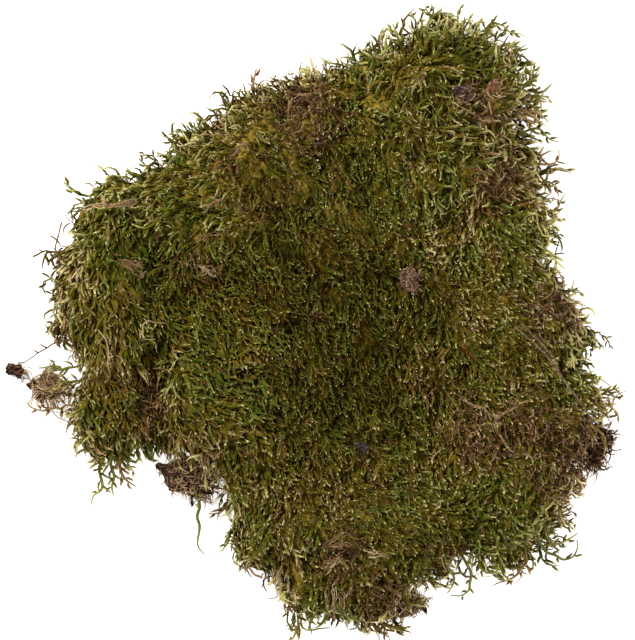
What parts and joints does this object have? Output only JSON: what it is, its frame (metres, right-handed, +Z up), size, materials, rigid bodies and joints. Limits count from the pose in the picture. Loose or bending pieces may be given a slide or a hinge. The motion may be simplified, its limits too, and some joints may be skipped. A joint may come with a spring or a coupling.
{
  "type": "moss clump",
  "caption": "Torn-off irregular sheet of feather moss lying flat, with hummocks, a ragged fringe of shoots, root clods and forest debris caught in it.",
  "frame": {"origin": "on the resting surface, under the middle of the clump's box", "axes": "+Z up out of the moss, +Y towards the tall crown, +X towards the side with the needle pair"},
  "size_m": [0.2273, 0.2306, 0.0314],
  "materials": {
    "moss_shoots": "matt to silky leafy shoots, deep green with yellow-green tips",
    "loose_shoots": "silky yellow-green leafy shoots",
    "dead_moss": "dry, matt, brown to pinkish shoots",
    "root_fibre": "matted dark brown rootlets with soil",
    "dry_needle": "dry brown needle, slightly glossy",
    "straw": "pale dry stalk, matt",
    "soil": "crumbly, dark, matt",
    "bark": "matt purple-brown bark",
    "dead_leaf": "dry, pale, matt scrap"
  },
  "bodies": {
    "root": {"bark_crumb": "bark", "brown_pointed_sprig": "dead_moss", "brown_sprig_south": "dead_moss", "bud_sprig_right": "dead_moss", "curl_bottom": "loose_shoots", "curled_sprig_east_1": "loose_shoots", "curled_sprig_east_2": "loose_shoots", "curled_sprig_south_1": "loose_shoots", "curled_sprig_south_2": "loose_shoots", "curled_sprig_south_3": "loose_shoots", "curved_sprig": "loose_shoots", "dark_twig_right": "dead_moss", "dead_sprig_left": "dead_moss", "dead_sprig_right": "dead_moss", "dead_stem_bottom_1": "dead_moss", "dead_stem_bottom_2": "dead_moss", "dead_stem_bottom_3": "dead_moss", "dead_strand_left": "dead_moss", "dead_strand_north": "dead_moss", "dead_strand_shoulder": "dead_moss", "dead_tuft_inner": "dead_moss", "dead_tuft_west": "dead_moss", "feathered_sprig": "loose_shoots", "fibre_patch_bottom": "root_fibre", "forked_stem_left": "loose_shoots", "green_stalk": "loose_shoots", "green_strand_bottom": "loose_shoots", "leaf_scrap": "dead_leaf", "loose_shoot_long": "loose_shoots", "moss_carpet": "moss_shoots", "orange_sprig_bottom": "dead_moss", "pale_crumb": "dead_leaf", "pale_fibre_lower": "straw", "pale_fibre_upper": "straw", "pine_needle_long": "dry_needle", "pine_needle_short": "dry_needle", "pink_strand": "dead_moss", "root_mass_notch": "root_fibre", "root_mass_right": "root_fibre", "root_tuft_left": "root_fibre", "rootlet_branched": "dead_moss", "rootlet_pale": "straw", "soil_crumb_dark": "soil", "soil_crumb_left": "soil", "sprig_left_lower": "loose_shoots", "sprig_left_upper": "loose_shoots", "sprig_lower_left": "dead_moss", "straw_forked": "straw", "straw_short": "straw", "stray_right_1": "loose_shoots", "stray_right_2": "loose_shoots", "stray_right_3": "loose_shoots", "stray_right_4": "loose_shoots", "stray_top": "loose_shoots", "top_curl_left": "loose_shoots", "top_curl_right": "loose_shoots", "twig_stem_left": "dead_moss", "yellow_sprig_right": "loose_shoots"}
  },
  "joints": []
}
